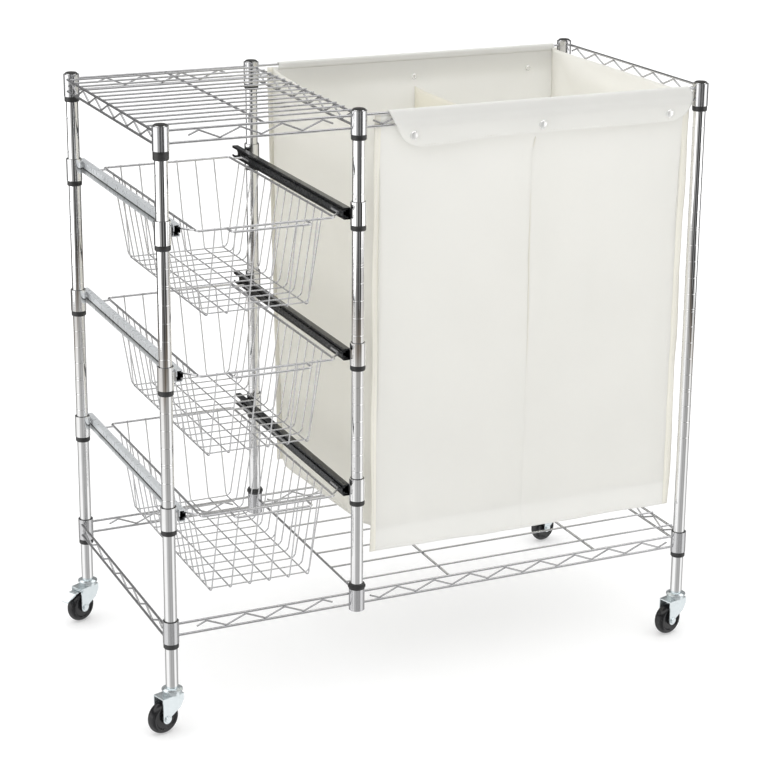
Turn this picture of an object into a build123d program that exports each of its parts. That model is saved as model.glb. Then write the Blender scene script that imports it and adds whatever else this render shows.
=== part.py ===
"""Wheeled laundry cart: chromed wire shelving with three basket drawers and a divided canvas bag.

Millimetres, +Z up, floor at z = 0. X runs along the cart from the drawers to the bag, Y runs from
front to back. The parts are laid out from the axis of the front left post, and the finished cart
is moved as one so that its origin is the middle of its footprint box.
"""
import math
import os

from build123d import *

# ---------------------------------------------------------------- driving dimensions
CART_LENGTH = 830.0            # front left post axis to front right post axis
CART_DEPTH = 412.0             # front post axis to back post axis
DRAWER_BAY = 284.0             # front left post axis to front middle post axis

POST_DIAMETER = 18.0
POST_WALL = 1.2
POST_FOOT_Z = 68.0             # lower end of a corner post, on its caster
GROOVE_PITCH = 25.4
GROOVE_DEPTH = 0.45
GROOVE_WIDTH = 1.6
GROOVE_START_Z = 323.0         # the tube is plain below this
GROOVE_END_Z = 860.0
DOUBLE_EVERY = 5               # every fifth groove is a pair, from the fourth groove up
DOUBLE_FIRST = 3
DOUBLE_GAP = 3.6

COLLAR_HEIGHT = 33.0
COLLAR_WALL = 1.4
SLEEVE_WALL = 1.1
SLEEVE_SHOW = 8.0              # split sleeve left in sight under a collar
LOW_SLEEVE_SHOW = 12.5         # the same under the top frame at the front left, where it has slipped
SLEEVE_RIM = 0.9               # how far that rim stands out from the sleeve
TOP_COLLAR_Z = 871.0           # upper edge of the top frame's collars
CAP_RISE = 3.0                 # how far the post caps stand above them
BOTTOM_COLLAR_Z = 166.5        # upper edge of the bottom shelf's collars
RAIL_TOP_COLLAR_Z = 743.5      # upper edge of the highest rail collars
RAIL_STEP = 8 * GROOVE_PITCH

RIM_WIRE = 3.6                 # wire diameters
SHELF_WIRE = 2.8
ZIGZAG_WIRE = 2.6
BASKET_RIM_WIRE = 3.4
BASKET_EAR_WIRE = 3.0
BASKET_WIRE = 2.0
WELD = 0.5                     # depth that crossing wires are fused into each other

SIDE_TRUSS_OUT = 8.0           # plane of the end trusses, outwards from the post axes
TRUSS_DROP = 7.0               # top wire under the collar's upper edge
TRUSS_HEIGHT = 17.3
ZIGZAG_STEP = 29.6             # from a crest of the zigzag to the next trough
SHORT_ZIGZAG = 7               # crests and troughs along the drawer bay
LONG_ZIGZAG = 17               # along the bag bay
SIDE_ZIGZAG = 13               # along the ends of the cart
SHELF_WIRE_COUNT = 14
TOP_CROSS_WIRE = 3.2           # the wire under the shelf, front to back
TOP_CROSS_SHIFT = 4.5          # the same, from the middle of the drawer bay
SHELF_WIRE_STEP = 27.65
GRID_WIRE_COUNT = 7
GRID_WIRE_STEP = 57.0
GRID_CROSS_INSET = 150.0

RAIL_HEIGHT = 17.0
RAIL_DEPTH = 9.0
RAIL_GAUGE = 1.2
RAIL_LIP = 2.2
RAIL_STEP_OUT = 0.9            # lower band of the web, outwards from the upper band
RAIL_INSET = 14.0              # post axis to the rail's web
RAIL_FRONT_Y = -4.0
RAIL_BACK_Y = 437.0
RAIL_DROP = 15.0               # rail's middle under its collars' upper edge
RUNNER_GAP = 0.6               # running clearance of a runner in its rail
DRAWER_TRAVEL = 320.0

BASKET_LEFT = 42.0             # basket rim, from the front left post axis
BASKET_WIDTH = 199.0
BASKET_FRONT_Y = -18.0
BASKET_LENGTH = 415.0
BASKET_DEPTH = 131.0
BASKET_TAPER_X = 25.5
BASKET_TAPER_Y = 36.0
BASKET_LONG_WIRES = 6
BASKET_CROSS_WIRES = 13
BASKET_CROSS_INSET = 8.0       # from the lengthwise wires' lower corners to the first cross wire
BASKET_BEND = 9.0
HANDLE_WIDTH = 114.0
HANDLE_REACH = 22.0

BAG_LEFT = 309.0
BAG_RIGHT = 812.0
BAG_BOTTOM_Z = 238.0
BAG_TOP_Z = 868.0
BAG_CLOTH = 2.0
BAG_INSET = 2.2                # bag's front and back panels, inwards from the post axes
BAG_HEM_Z = 212.0              # the front panel hangs below the bag's bottom
LEFT_PANEL_Z = 850.0           # upper edges of the bag's end panels
RIGHT_PANEL_Z = 864.0
DIVIDER_X = 557.5
DIVIDER_Z = 817.0
FLAP_OUT = 4.4                 # outside of the folded flaps, outwards from the post axes
FLAP_LEFT = 327.0
FLAP_RIGHT = 815.0
FLAP_HEM_Z = 816.0
FLAP_SLANT = 26.0
FLAP_CORNER = 26.0
SNAP_Z = 830.6
SNAP_DIAMETER = 12.0
SOCKET_DIAMETER = 9.0          # ring half of each press stud, on the inside of the back panel
SOCKET_BORE = 3.6
FRONT_SNAP_X = (365.6, 567.4, 776.5)
BACK_SNAP_X = (354.0, 558.0, 762.0)

WHEEL_RADIUS = 24.0
WHEEL_WIDTH = 17.0
HUB_WIDTH = 19.4
CASTER_TRAIL = 17.0
AXLE_DIAMETER = 6.0
AXLE_PLAY = 0.05
FORK_INSIDE = 20.0
FORK_GAUGE = 1.6
FORK_TOP_Z = 58.0
CUP_RADIUS = 15.0
STEM_DIAMETER = 10.0
SWIVEL_PLAY = 0.06
CASTER_HEADING = {             # direction in which each wheel trails, degrees from +X
    "front_left": 198.0,
    "back_left": 207.0,
    "front_right": 196.5,
    "back_right": 200.0,
}
LOCKING_CASTERS = ("back_left",)

# ---------------------------------------------------------------- derived values
POST_RADIUS = POST_DIAMETER / 2
BORE_RADIUS = POST_RADIUS - POST_WALL
SLEEVE_RADIUS = POST_RADIUS + SLEEVE_WALL
COLLAR_RADIUS = SLEEVE_RADIUS + COLLAR_WALL
CAP_TOP_Z = TOP_COLLAR_Z + CAP_RISE
WIRE_HOLD = SLEEVE_RADIUS + 0.4            # where a wire ends inside a collar's wall
SIDE_WIRE_HOLD = 8.2
POST_TOP_Z = TOP_COLLAR_Z + 1.0

CORNERS = {
    "front_left": (0.0, 0.0),
    "back_left": (0.0, CART_DEPTH),
    "front_right": (CART_LENGTH, 0.0),
    "back_right": (CART_LENGTH, CART_DEPTH),
}
MIDDLES = {
    "front_middle": (DRAWER_BAY, 0.0),
    "back_middle": (DRAWER_BAY, CART_DEPTH),
}
POSTS = CORNERS | MIDDLES
RAIL_COLLAR_Z = {
    "top": RAIL_TOP_COLLAR_Z,
    "middle": RAIL_TOP_COLLAR_Z - RAIL_STEP,
    "bottom": RAIL_TOP_COLLAR_Z - 2 * RAIL_STEP,
}
FLOOR_UP = (Align.CENTER, Align.CENTER, Align.MIN)

parts = {}


# ---------------------------------------------------------------- shared shapes
def tube(x, y, low, high, outer, inner):
    """Vertical tube between two heights."""
    return Pos(x, y, low) * (
        Cylinder(outer, high - low, align=FLOOR_UP)
        - Cylinder(inner, high - low, align=FLOOR_UP)
    )


def rod(start, end, diameter):
    """Straight round wire between two points."""
    start, end = Vector(*start), Vector(*end)
    run = end - start
    return Plane(origin=start, z_dir=run) * Cylinder(diameter / 2, run.length, align=FLOOR_UP)


def bent_rod(points, diameter, bend, close=False):
    """Round wire along straight runs joined by equal bends."""
    path = FilletPolyline(*points, radius=bend, close=close)
    section = Plane(origin=path @ 0, z_dir=path % 0) * Circle(diameter / 2)
    return sweep(section, path=path)


def fuse(pieces):
    """One solid out of pieces that run into each other."""
    first, *others = pieces
    return first.fuse(*others)


def turned(profile):
    """Solid of revolution about Z of a closed outline given as (radius, z) points."""
    face = make_face(Polyline(*[(r, 0, z) for r, z in profile], close=True))
    return revolve(face, axis=Axis.Z)


# ---------------------------------------------------------------- posts
def post(low, top):
    """Tube with rolled grooves, at the origin."""
    outline = [(BORE_RADIUS, low), (POST_RADIUS, low)]
    count = int((GROOVE_END_Z - GROOVE_START_Z) // GROOVE_PITCH) + 1
    for index in range(count):
        middle = GROOVE_START_Z + index * GROOVE_PITCH
        paired = index % DOUBLE_EVERY == DOUBLE_FIRST
        for groove in (middle - DOUBLE_GAP / 2, middle + DOUBLE_GAP / 2) if paired else (middle,):
            outline += [
                (POST_RADIUS, groove - GROOVE_WIDTH / 2),
                (POST_RADIUS - GROOVE_DEPTH, groove - GROOVE_WIDTH / 4),
                (POST_RADIUS - GROOVE_DEPTH, groove + GROOVE_WIDTH / 4),
                (POST_RADIUS, groove + GROOVE_WIDTH / 2),
            ]
    outline += [(POST_RADIUS, top), (BORE_RADIUS, top)]
    return turned(outline)


def post_cap(x, y):
    """Pressed-in plug with a low domed head."""
    head = POST_TOP_Z
    dome = CAP_TOP_Z
    outline = [
        (0, head - 8), (BORE_RADIUS, head - 8), (BORE_RADIUS, head), (POST_RADIUS, head),
        (POST_RADIUS, head + 0.8), (POST_RADIUS - 1.2, dome - 0.4), (0, dome),
    ]
    return Pos(x, y, 0) * turned(outline)


def split_sleeve(x, y, collar_top, show=SLEEVE_SHOW):
    """Sleeve clipped round a post, wedged in a collar, with its rim showing below."""
    collar_low = collar_top - COLLAR_HEIGHT
    low = collar_low - show
    rim = SLEEVE_RADIUS + SLEEVE_RIM
    outline = [
        (POST_RADIUS, low), (rim - 0.8, low), (rim, low + 1.2), (rim, collar_low - 0.4),
        (SLEEVE_RADIUS, collar_low - 0.4), (SLEEVE_RADIUS, collar_top - 2), (POST_RADIUS, collar_top - 2),
    ]
    slot = Pos(0, 0, low) * Box(1.2, 2 * rim, collar_top - low, align=(Align.CENTER, Align.MIN, Align.MIN))
    return Pos(x, y, 0) * (turned(outline) - slot)


def collar(x, y, top):
    """Plain ring of a shelf or rail, bored for its sleeve."""
    return tube(x, y, top - COLLAR_HEIGHT, top, COLLAR_RADIUS, SLEEVE_RADIUS)


MIDDLE_FOOT_Z = BOTTOM_COLLAR_Z + 2.0
for place in CORNERS:
    parts["post_" + place] = Pos(*CORNERS[place], 0) * post(POST_FOOT_Z, POST_TOP_Z)
for place in MIDDLES:
    parts["post_" + place] = Pos(*MIDDLES[place], 0) * post(MIDDLE_FOOT_Z, POST_TOP_Z)
parts["post_caps"] = Compound([post_cap(x, y) for x, y in POSTS.values()])


def middle_foot(x, y):
    """Plastic foot: a plug in the post, a flared rim, and a spigot in the shelf's collar."""
    rim = MIDDLE_FOOT_Z
    flare = COLLAR_RADIUS + 1.4
    outline = [
        (0, rim - 26), (SLEEVE_RADIUS - 1.2, rim - 26), (SLEEVE_RADIUS, rim - 24),
        (SLEEVE_RADIUS, BOTTOM_COLLAR_Z), (flare - 2.2, BOTTOM_COLLAR_Z), (flare, BOTTOM_COLLAR_Z + 2.6),
        (flare, BOTTOM_COLLAR_Z + 4.6), (flare - 1.8, BOTTOM_COLLAR_Z + 8.0),
        (POST_RADIUS, BOTTOM_COLLAR_Z + 8.0), (POST_RADIUS, rim), (BORE_RADIUS, rim),
        (BORE_RADIUS, rim + 16), (0, rim + 16),
    ]
    return Pos(x, y, 0) * turned(outline)


parts["middle_post_feet"] = Compound([middle_foot(x, y) for x, y in MIDDLES.values()])
parts["top_frame_sleeves"] = Compound([
    split_sleeve(x, y, TOP_COLLAR_Z, LOW_SLEEVE_SHOW if place == "front_left" else SLEEVE_SHOW)
    for place, (x, y) in POSTS.items()
])
parts["bottom_shelf_sleeves"] = Compound(
    [split_sleeve(x, y, BOTTOM_COLLAR_Z) for x, y in CORNERS.values()]
)


# ---------------------------------------------------------------- wire shelves
def truss(start, end, collar_top, count, out=(0, 0)):
    """Two wires and a zigzag between two collars; out is the offset of its plane from their axes."""
    start, end, out = Vector(*start), Vector(*end), Vector(*out)
    along = (end - start).normalized()
    span = (end - start).length
    hold = WIRE_HOLD if out.length == 0 else SIDE_WIRE_HOLD
    high = collar_top - TRUSS_DROP
    low = high - TRUSS_HEIGHT
    base = start + out

    def at(distance, z):
        spot = base + along * distance
        return (spot.X, spot.Y, z)

    pieces = [rod(at(hold, z), at(span - hold, z), RIM_WIRE) for z in (high, low)]
    reach = (RIM_WIRE + ZIGZAG_WIRE) / 2 - WELD
    crest_first = count != LONG_ZIGZAG
    first = (span - (count - 1) * ZIGZAG_STEP) / 2
    middle = (high + low) / 2
    points = [at(first - ZIGZAG_STEP / 2, middle)]
    for index in range(count):
        z = high - reach if (index % 2 == 0) == crest_first else low + reach
        points.append(at(first + index * ZIGZAG_STEP, z))
    points.append(at(span - first + ZIGZAG_STEP / 2, middle))
    pieces.append(bent_rod(points, ZIGZAG_WIRE, 4.0))
    return pieces


def shelf_edges(collar_top):
    """Collars and the trusses of the cart's outline, shared by both shelves."""
    pieces = [collar(x, y, collar_top) for x, y in POSTS.values()]
    for row in ("front", "back"):
        left, middle, right = (POSTS[row + "_" + side] for side in ("left", "middle", "right"))
        pieces += truss(left, middle, collar_top, SHORT_ZIGZAG)
        pieces += truss(middle, right, collar_top, LONG_ZIGZAG)
    for side, out in (("left", -SIDE_TRUSS_OUT), ("right", SIDE_TRUSS_OUT)):
        front, back = POSTS["front_" + side], POSTS["back_" + side]
        pieces += truss(front, back, collar_top, SIDE_ZIGZAG, (out, 0))
    return pieces


WIRE_STACK = (RIM_WIRE + SHELF_WIRE) / 2 - WELD


def top_frame():
    """Wire shelf over the drawers and an open frame that carries the bag."""
    pieces = shelf_edges(TOP_COLLAR_Z)
    pieces += truss(POSTS["front_middle"], POSTS["back_middle"], TOP_COLLAR_Z, SIDE_ZIGZAG)
    rim_z = TOP_COLLAR_Z - TRUSS_DROP
    wire_z = rim_z + WIRE_STACK
    first = (CART_DEPTH - (SHELF_WIRE_COUNT - 1) * SHELF_WIRE_STEP) / 2
    for index in range(SHELF_WIRE_COUNT):
        y = first + index * SHELF_WIRE_STEP
        pieces.append(rod((-SIDE_TRUSS_OUT - 1.5, y, wire_z), (DRAWER_BAY + 1.5, y, wire_z), SHELF_WIRE))
    cross_x = DRAWER_BAY / 2 + TOP_CROSS_SHIFT
    pieces.append(rod((cross_x, 0, rim_z), (cross_x, CART_DEPTH, rim_z), TOP_CROSS_WIRE))
    return fuse(pieces)


def bottom_shelf():
    """Open frame under the drawers and a wire grid under the bag."""
    pieces = shelf_edges(BOTTOM_COLLAR_Z)
    rim_z = BOTTOM_COLLAR_Z - TRUSS_DROP
    wire_z = rim_z + WIRE_STACK
    ends = ((DRAWER_BAY, WIRE_HOLD, rim_z), (DRAWER_BAY, CART_DEPTH - WIRE_HOLD, rim_z))
    pieces.append(rod(*ends, RIM_WIRE))
    first = (CART_DEPTH - (GRID_WIRE_COUNT - 1) * GRID_WIRE_STEP) / 2
    for index in range(GRID_WIRE_COUNT):
        y = first + index * GRID_WIRE_STEP
        ends = ((DRAWER_BAY - 1.5, y, wire_z), (CART_LENGTH + SIDE_TRUSS_OUT + 1.5, y, wire_z))
        pieces.append(rod(*ends, SHELF_WIRE))
    for x in (DRAWER_BAY + GRID_CROSS_INSET, CART_LENGTH - GRID_CROSS_INSET):
        pieces.append(rod((x, 0, rim_z), (x, CART_DEPTH, rim_z), RIM_WIRE))
    return fuse(pieces)


parts["top_frame"] = top_frame()
parts["bottom_shelf"] = bottom_shelf()


# ---------------------------------------------------------------- slide rails
def rail_outline():
    """Channel section, web at x = 0 and open towards +X, about z = 0."""
    half = RAIL_HEIGHT / 2
    inner = half - RAIL_GAUGE
    lip = inner - RAIL_LIP
    tip = RAIL_DEPTH
    inside = tip - RAIL_GAUGE
    step = RAIL_STEP_OUT
    return [
        (0, -1.0), (0, half), (tip, half), (tip, lip), (inside, lip), (inside, inner),
        (RAIL_GAUGE, inner), (RAIL_GAUGE, -1.6), (RAIL_GAUGE - step, -2.2), (RAIL_GAUGE - step, -inner),
        (inside, -inner), (inside, -lip), (tip, -lip), (tip, -half), (-step, -half), (-step, -1.6),
    ]


def runner_outline():
    """Hat section that slides inside the channel, with its crown standing out of the slot."""
    top = RAIL_HEIGHT / 2 - RAIL_GAUGE - RUNNER_GAP
    crown = top - RAIL_LIP - RUNNER_GAP
    gauge = 1.1
    back = RAIL_GAUGE + RUNNER_GAP
    flange = RAIL_DEPTH - RAIL_GAUGE - RUNNER_GAP
    tip = RAIL_DEPTH + 1.6
    return [
        (back, top), (flange, top), (flange, crown), (tip, crown), (tip, -crown), (flange, -crown),
        (flange, -top), (back, -top), (back, -top + gauge), (flange - gauge, -top + gauge),
        (flange - gauge, -crown + gauge), (tip - gauge, -crown + gauge), (tip - gauge, crown - gauge),
        (flange - gauge, crown - gauge), (flange - gauge, top - gauge), (back, top - gauge),
    ]


def channel(outline, side, z, front, back):
    """Outline drawn out along Y, mirrored for the right-hand rail."""
    sign = 1 if side == "left" else -1
    web_x = RAIL_INSET if side == "left" else DRAWER_BAY - RAIL_INSET
    points = [(web_x + sign * x, 0, z + height) for x, height in outline]
    face = make_face(Polyline(*points, close=True))
    return Pos(0, front, 0) * extrude(face, amount=back - front, dir=(0, 1, 0))


def rail_collar(place, side, collar_top):
    """Collar with the welded block that carries the end of a rail."""
    x, y = POSTS[place]
    sign = 1 if side == "left" else -1
    z = collar_top - RAIL_DROP
    ring = collar(x, y, collar_top)
    reach = RAIL_INSET - RAIL_STEP_OUT
    block = Pos(x + sign * (reach + 8.0) / 2, y, z) * Box(reach - 8.0, 9.0, 12.0)
    bore = Pos(x, y, collar_top - COLLAR_HEIGHT) * Cylinder(SLEEVE_RADIUS, COLLAR_HEIGHT, align=FLOOR_UP)
    return (ring + block) - bore


SIDES = {"left": ("front_left", "back_left"), "right": ("front_middle", "back_middle")}
for level, collar_top in RAIL_COLLAR_Z.items():
    rail_z = collar_top - RAIL_DROP
    brackets = []
    sleeves = []
    for side, places in SIDES.items():
        rail = channel(rail_outline(), side, rail_z, RAIL_FRONT_Y, RAIL_BACK_Y)
        parts["rail_" + level + "_" + side] = rail
        brackets += [rail_collar(place, side, collar_top) for place in places]
        sleeves += [split_sleeve(*POSTS[place], collar_top) for place in places]
    parts["rail_collars_" + level] = Compound(brackets)
    parts["rail_sleeves_" + level] = Compound(sleeves)


# ---------------------------------------------------------------- basket drawers
def basket(rim_z):
    """Tapered wire basket: rim with four ears, pull handle and two sets of U-shaped wires."""
    left, right = BASKET_LEFT, BASKET_LEFT + BASKET_WIDTH
    front, back = BASKET_FRONT_Y, BASKET_FRONT_Y + BASKET_LENGTH
    low = rim_z - BASKET_DEPTH
    over = rim_z + 2.0
    lay = BASKET_WIRE - WELD / 2
    ear = RAIL_INSET + RAIL_DEPTH + 1.6 + BASKET_EAR_WIRE / 2
    rim = [(left, front, rim_z), (right, front, rim_z), (right, back, rim_z), (left, back, rim_z)]
    pieces = [bent_rod(rim, BASKET_RIM_WIRE, 5.0, close=True)]
    for edge, slide in ((left, ear), (right, DRAWER_BAY - ear)):
        pieces.append(bent_rod(
            [(edge, front + 7, rim_z), (slide, 8, rim_z), (slide, 34, rim_z)],
            BASKET_EAR_WIRE, 2.5,
        ))
        pieces.append(bent_rod(
            [(edge, back - 12, rim_z), (slide, back - 12, rim_z), (slide, back - 40, rim_z)],
            BASKET_EAR_WIRE, 2.5,
        ))
    middle = (left + right) / 2
    pieces.append(bent_rod(
        [
            (middle - HANDLE_WIDTH / 2, front, rim_z),
            (middle - HANDLE_WIDTH / 2, front - HANDLE_REACH, rim_z),
            (middle + HANDLE_WIDTH / 2, front - HANDLE_REACH, rim_z),
            (middle + HANDLE_WIDTH / 2, front, rim_z),
        ],
        BASKET_RIM_WIRE, 5.0,
    ))
    long_step = (BASKET_WIDTH - 2 * BASKET_TAPER_X) / (BASKET_LONG_WIRES - 1)
    for index in range(BASKET_LONG_WIRES):
        x = left + BASKET_TAPER_X + index * long_step
        pieces.append(bent_rod(
            [
                (x, front, over), (x, front + BASKET_TAPER_Y, low),
                (x, back - BASKET_TAPER_Y, low), (x, back, over),
            ],
            BASKET_WIRE, BASKET_BEND,
        ))
    cross_span = BASKET_LENGTH - 2 * BASKET_TAPER_Y - 2 * BASKET_CROSS_INSET
    for index in range(BASKET_CROSS_WIRES):
        y = front + BASKET_TAPER_Y + BASKET_CROSS_INSET + index * cross_span / (BASKET_CROSS_WIRES - 1)
        pieces.append(bent_rod(
            [
                (left, y, over), (left + BASKET_TAPER_X - 4, y, low + lay),
                (right - BASKET_TAPER_X + 4, y, low + lay), (right, y, over),
            ],
            BASKET_WIRE, BASKET_BEND,
        ))
    return fuse(pieces)


top_rim_z = RAIL_TOP_COLLAR_Z - RAIL_DROP
top_basket = basket(top_rim_z)
for level, collar_top in RAIL_COLLAR_Z.items():
    rail_z = collar_top - RAIL_DROP
    parts["basket_" + level] = Pos(0, 0, rail_z - top_rim_z) * top_basket
    for side in SIDES:
        runner = channel(runner_outline(), side, rail_z, RAIL_FRONT_Y + 2, BASKET_FRONT_Y + BASKET_LENGTH)
        parts["runner_" + level + "_" + side] = runner


# ---------------------------------------------------------------- canvas bag
def slab(x0, x1, y0, y1, z0, z1):
    """Box between two corners."""
    return Pos(x0, y0, z0) * Box(x1 - x0, y1 - y0, z1 - z0, align=(Align.MIN, Align.MIN, Align.MIN))


def flap(outer_y, inner_y, wall_y):
    """Edge of the bag folded over a rail: an apron outside and the fold on top."""
    corners = [
        (FLAP_LEFT, BAG_TOP_Z), (FLAP_LEFT + FLAP_SLANT, FLAP_HEM_Z), (FLAP_RIGHT, FLAP_HEM_Z),
        (FLAP_RIGHT, BAG_TOP_Z),
    ]
    low_y, high_y = sorted((outer_y, inner_y))
    outline = make_face(Polyline(*[(x, low_y, z) for x, z in corners], close=True))
    apron = extrude(outline, amount=high_y - low_y, dir=(0, 1, 0))
    apron = fillet(apron.edges().filter_by(Axis.Y).group_by(Axis.Z)[0], FLAP_CORNER)
    fold_low, fold_high = sorted((outer_y, wall_y))
    return apron + slab(FLAP_LEFT, FLAP_RIGHT, fold_low, fold_high, BAG_TOP_Z - BAG_CLOTH, BAG_TOP_Z)


BAG_FRONT_Y = BAG_INSET
BAG_BACK_Y = CART_DEPTH - BAG_INSET


def bag():
    """Open-topped canvas bag hung by its front and back flaps."""
    outer = slab(BAG_LEFT, BAG_RIGHT, BAG_FRONT_Y, BAG_BACK_Y, BAG_BOTTOM_Z, BAG_TOP_Z)
    outer = fillet(outer.edges().group_by(Axis.Z)[0], 14.0)
    front_in, back_in = BAG_FRONT_Y + BAG_CLOTH, BAG_BACK_Y - BAG_CLOTH
    hollow = slab(
        BAG_LEFT + BAG_CLOTH, BAG_RIGHT - BAG_CLOTH, front_in, back_in, BAG_BOTTOM_Z + BAG_CLOTH, BAG_TOP_Z + 1,
    )
    hollow = fillet(hollow.edges().group_by(Axis.Z)[0], 12.0)
    left_cut = slab(BAG_LEFT - 1, DIVIDER_X, front_in, back_in, LEFT_PANEL_Z, BAG_TOP_Z + 1)
    right_cut = slab(DIVIDER_X, BAG_RIGHT + 1, front_in, back_in, RIGHT_PANEL_Z, BAG_TOP_Z + 1)
    shell = outer - hollow - left_cut - right_cut
    skirt = slab(BAG_LEFT, BAG_RIGHT, BAG_FRONT_Y, front_in, BAG_HEM_Z, BAG_BOTTOM_Z + 20)
    front = flap(-FLAP_OUT, -FLAP_OUT + BAG_CLOTH, front_in)
    back = flap(CART_DEPTH + FLAP_OUT, CART_DEPTH + FLAP_OUT - BAG_CLOTH, back_in)
    return shell + skirt + front + back


parts["laundry_bag"] = bag()
parts["bag_divider"] = slab(
    DIVIDER_X - BAG_CLOTH / 2, DIVIDER_X + BAG_CLOTH / 2, BAG_FRONT_Y + BAG_CLOTH, BAG_BACK_Y - BAG_CLOTH,
    BAG_BOTTOM_Z + 14.0, DIVIDER_Z,
)


def snap(x, y, facing):
    """Domed snap button standing on a face of cloth; facing is the sign of its outward Y."""
    radius = SNAP_DIAMETER / 2
    disc = turned([(0, 0), (radius, 0), (radius, 0.8), (radius - 1.2, 1.8), (0, 2.2)])
    return Pos(x, y, SNAP_Z) * Rot(-90 * facing, 0, 0) * disc


def socket(x, y, facing):
    """Ring-shaped half of a press stud, standing on a face of cloth like a snap."""
    radius, bore = SOCKET_DIAMETER / 2, SOCKET_BORE / 2
    ring = turned([(bore, 0), (radius, 0), (radius, 0.7), (radius - 0.9, 1.5), (bore + 0.5, 1.5), (bore, 0.9)])
    return Pos(x, y, SNAP_Z) * Rot(-90 * facing, 0, 0) * ring


parts["front_snaps"] = Compound([snap(x, -FLAP_OUT, -1) for x in FRONT_SNAP_X])
parts["back_snaps"] = Compound([socket(x, BAG_BACK_Y - BAG_CLOTH, -1) for x in BACK_SNAP_X])


# ---------------------------------------------------------------- casters
# Each caster is drawn with its stem on Z and its wheel trailing towards +X, then turned and placed.
def caster_stem():
    """Threaded stem with its fixed upper bearing cup, riveted through the fork."""
    rivet = STEM_DIAMETER / 2 - 1.0
    outline = [
        (0, FORK_TOP_Z - 6.6), (rivet + 2.2, FORK_TOP_Z - 6.6), (rivet + 2.2, FORK_TOP_Z - 4.0),
        (rivet, FORK_TOP_Z - 4.0), (rivet, FORK_TOP_Z + 2.6), (CUP_RADIUS - 1.4, FORK_TOP_Z + 2.6),
        (CUP_RADIUS, FORK_TOP_Z + 3.2), (CUP_RADIUS, FORK_TOP_Z + 4.6), (CUP_RADIUS - 3.0, FORK_TOP_Z + 6.2),
        (8.5, FORK_TOP_Z + 7.0), (8.5, POST_FOOT_Z), (STEM_DIAMETER / 2, POST_FOOT_Z),
        (STEM_DIAMETER / 2, POST_FOOT_Z + 30), (STEM_DIAMETER / 2 - 1, POST_FOOT_Z + 31), (0, POST_FOOT_Z + 31),
    ]
    return turned(outline)


def stem_insert():
    """Threaded plug pressed into the foot of a post."""
    return tube(0, 0, POST_FOOT_Z, POST_FOOT_Z + 26, BORE_RADIUS, STEM_DIAMETER / 2)


def fork():
    """Folded steel fork: a top plate with a raised race and two cheeks."""
    half = FORK_INSIDE / 2 + FORK_GAUGE
    top, axle_z, boss = FORK_TOP_Z - 2.0, WHEEL_RADIUS, 7.0
    lead, trail = -12.0, CASTER_TRAIL + boss
    side = Plane.XZ * make_face(
        Polyline((lead, top), (lead, top - 9), (lead + 6, top - 20), (CASTER_TRAIL - boss + 0.6, axle_z + 2),
                 (CASTER_TRAIL - boss, axle_z))
        + RadiusArc((CASTER_TRAIL - boss, axle_z), (trail, axle_z), -boss)
        + Polyline((trail, axle_z), (trail, top), (lead, top))
    )
    cheek = extrude(side, amount=FORK_GAUGE)
    plate = slab(lead, trail, -half, half, top - FORK_GAUGE, top)
    race = Pos(0, 0, top) * Cylinder(CUP_RADIUS - 1.0, 4.3, align=FLOOR_UP)
    body = plate + race + Pos(0, half, 0) * cheek + Pos(0, -half + FORK_GAUGE, 0) * cheek
    hole = Cylinder(STEM_DIAMETER / 2 - 1.0 + SWIVEL_PLAY, 40, align=FLOOR_UP)
    body -= Pos(0, 0, top - 10) * hole
    bolt = Pos(CASTER_TRAIL, 0, axle_z) * Rot(90, 0, 0) * Cylinder(AXLE_DIAMETER / 2, 60)
    return body - bolt


def axle():
    """Axle rivet with a head on each side of the fork."""
    half = FORK_INSIDE / 2 + FORK_GAUGE
    radius = AXLE_DIAMETER / 2
    outline = [
        (0, -half - 2.2), (radius + 1.2, -half - 2.2), (radius + 1.8, -half - 1.4), (radius + 1.8, -half),
        (radius, -half), (radius, half), (radius + 1.8, half), (radius + 1.8, half + 1.4),
        (radius + 1.2, half + 2.2), (0, half + 2.2),
    ]
    return Pos(CASTER_TRAIL, 0, WHEEL_RADIUS) * Rot(90, 0, 0) * turned(outline)


def wheel():
    """Solid wheel with a rounded tread, dished sides and a hub."""
    half, hub, bore = WHEEL_WIDTH / 2, HUB_WIDTH / 2, AXLE_DIAMETER / 2 + AXLE_PLAY
    side = [(bore, -hub), (7.0, -hub), (7.6, -half + 2.2), (15.5, -half + 2.2), (17.0, -half + 0.4), (19.5, -half)]
    lines = Polyline(*[(r, 0, z) for r, z in side])
    tread = ThreePointArc((19.5, 0, -half), (WHEEL_RADIUS, 0, 0), (19.5, 0, half))
    other = Polyline(*[(r, 0, -z) for r, z in reversed(side)])
    close = Line((bore, 0, hub), (bore, 0, -hub))
    disc = revolve(make_face(lines + tread + other + close), axis=Axis.Z)
    return Pos(CASTER_TRAIL, 0, WHEEL_RADIUS) * Rot(90, 0, 0) * disc


LEVER_PIVOT = (20.5, 51.2)


def brake_lever():
    """Bent foot lever on a cross pin at the back of the fork, with its brake pad."""
    x, z = LEVER_PIVOT
    strip = [
        (x - 2.0, z + 0.8), (x + 14.0, z - 0.4), (x + 30.0, z - 9.4), (x + 30.0, z - 11.0),
        (x + 13.4, z - 2.0), (x - 2.0, z - 0.8),
    ]
    face = make_face(Polyline(*[(px, 0, pz) for px, pz in strip], close=True))
    blade = Pos(0, -7, 0) * extrude(face, amount=14, dir=(0, 1, 0))
    pad = Pos(x + 15.5, 0, z - 4.4) * Rot(0, 25, 0) * Box(11, 10, 4.4)
    barrel = Pos(x, 0, z) * Rot(90, 0, 0) * Cylinder(2.4, 18)
    pin = Pos(x, 0, z) * Rot(90, 0, 0) * Cylinder(1.5 + AXLE_PLAY, 30)
    return fuse([barrel, blade, pad]) - pin


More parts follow.
